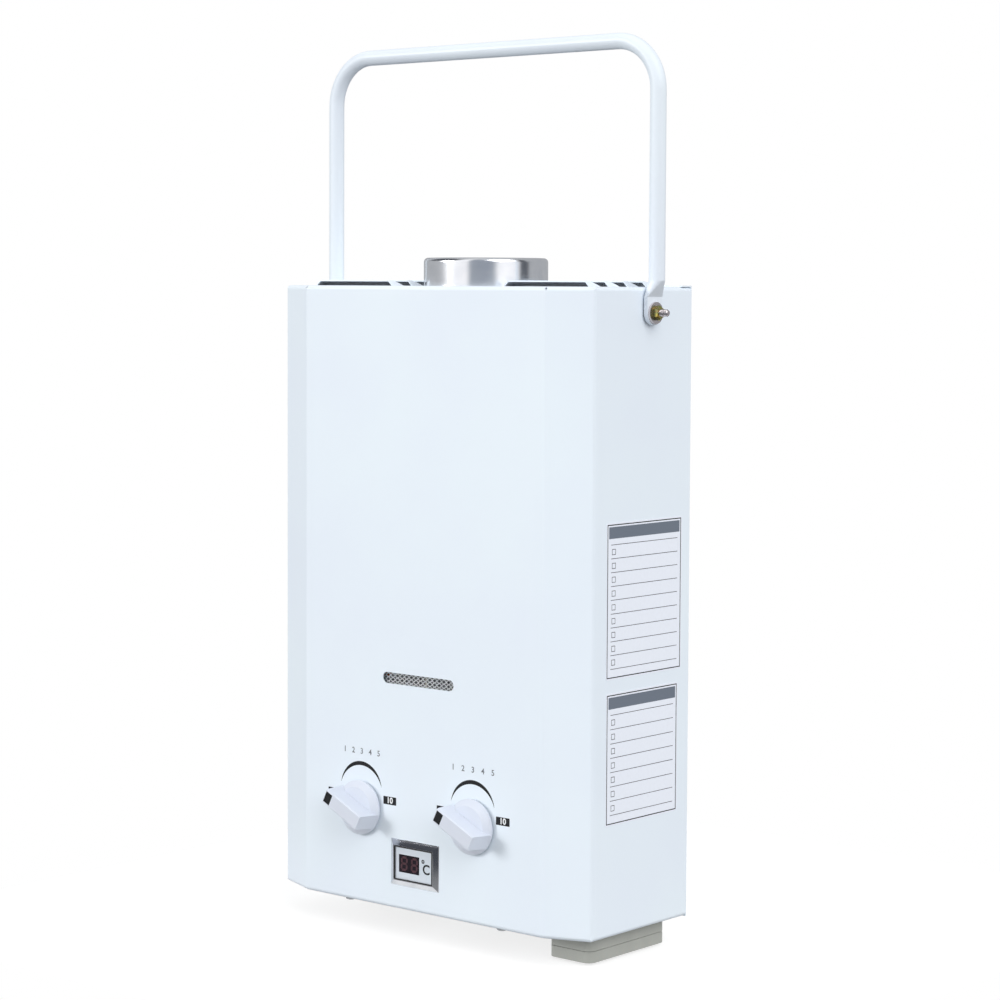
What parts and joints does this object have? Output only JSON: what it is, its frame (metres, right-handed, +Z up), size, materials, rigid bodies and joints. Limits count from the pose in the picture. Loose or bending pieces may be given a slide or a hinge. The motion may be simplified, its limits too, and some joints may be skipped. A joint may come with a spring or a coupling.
{
  "type": "portable propane water heater",
  "caption": "Wall-hung, hand-carried gas water heater: folded white casing, turning knobs, digit display, flue collar, folding carry handle and hinged battery lid.",
  "frame": {"origin": "centre of the hanging hole on the rear face of the back panel", "axes": "+X to the right seen from the front, +Y into the wall that it hangs on, +Z up"},
  "size_m": [0.322, 0.14, 0.6367],
  "materials": {
    "casing_paint": "powder coated, satin",
    "handle_paint": "powder coated, gloss",
    "knob_plastic": "moulded, soft gloss",
    "black_mark": "gloss",
    "grey_plastic": "moulded, fine texture",
    "chrome_trim": "polished",
    "brushed_plate": "brushed",
    "display_lens": "polished",
    "stainless": "rolled sheet",
    "galvanised": "zinc coated sheet",
    "copper": "drawn copper",
    "brass": "machined and cast",
    "cast_alloy": "die cast",
    "zinc_hardware": "yellow zinc plated",
    "steel": "bright",
    "black_plastic": "moulded",
    "rubber": "matt",
    "lead_insulation": "silicone",
    "ceramic": "glazed ceramic",
    "board_green": "solder resist",
    "cell_jacket": "printed jacket, plain"
  },
  "bodies": {
    "casing": {"front_cover": "casing_paint", "back_panel": "casing_paint", "bottom_plate": "galvanised", "cover_screws": "steel", "chassis_brackets": "galvanised", "sight_mesh": "stainless", "flue_collar": "stainless", "flue_hood": "galvanised", "combustion_chamber": "copper", "exchanger_shell": "copper", "exchanger_fins": "copper", "exchanger_tubes": "copper", "chamber_coil": "copper", "burner_tray": "galvanised", "burner_bars": "stainless", "gas_manifold": "cast_alloy", "gas_riser": "cast_alloy", "gas_valve": "cast_alloy", "solenoid_valve": "brass", "water_valve": "brass", "diaphragm": "rubber", "diaphragm_cover": "brass", "microswitch": "black_plastic", "gas_inlet": "brass", "cold_inlet": "brass", "hot_outlet": "brass", "relief_valve": "brass", "cold_pipe": "copper", "hot_pipe": "copper", "igniter_box": "black_plastic", "ignition_electrode": "ceramic", "flame_sensor": "ceramic", "electrode_bracket": "galvanised", "overheat_thermostat": "black_plastic", "wiring": "lead_insulation", "display_bezel": "chrome_trim", "display_plate": "brushed_plate", "display_window": "display_lens", "display_board": "board_green", "battery_box": "grey_plastic", "batteries": "cell_jacket", "battery_contacts": "steel", "door_pin": "steel", "handle_bolts": "zinc_hardware", "handle_spacers": "black_plastic", "handle_washers": "steel", "handle_nuts": "zinc_hardware"},
    "fire_dial": {"fire_knob": "knob_plastic", "fire_pointer": "black_mark", "fire_stem": "steel"},
    "water_dial": {"water_knob": "knob_plastic", "water_pointer": "black_mark", "water_stem": "steel"},
    "valve_rod": {"push_rod": "steel"},
    "battery_lid": {"battery_door": "grey_plastic", "door_contact": "steel"},
    "handle": {"carry_handle": "handle_paint"}
  },
  "joints": [
    {"name": "handle_pivot", "type": "hinge", "parent": "casing", "child": "handle", "pos_m": [0, -0.048, 0.0253], "axis": [1, 0, 0], "range_deg": [-155, 150]},
    {"name": "fire_knob_turn", "type": "hinge", "parent": "casing", "child": "fire_dial", "pos_m": [-0.0565, -0.12, -0.331], "axis": [0, 1, 0], "range_deg": [0, 140]},
    {"name": "water_knob_turn", "type": "hinge", "parent": "casing", "child": "water_dial", "pos_m": [0.0495, -0.12, -0.331], "axis": [0, 1, 0], "range_deg": [0, 140]},
    {"name": "push_rod_slide", "type": "slide", "parent": "casing", "child": "valve_rod", "axis": [-1, 0, 0], "range_m": [0, 0.003], "stiffness_N_per_m": 800},
    {"name": "battery_lid_hinge", "type": "hinge", "parent": "casing", "child": "battery_lid", "pos_m": [0.1155, -0.0135, -0.4146], "axis": [1, 0, 0], "range_deg": [0, 85]}
  ]
}
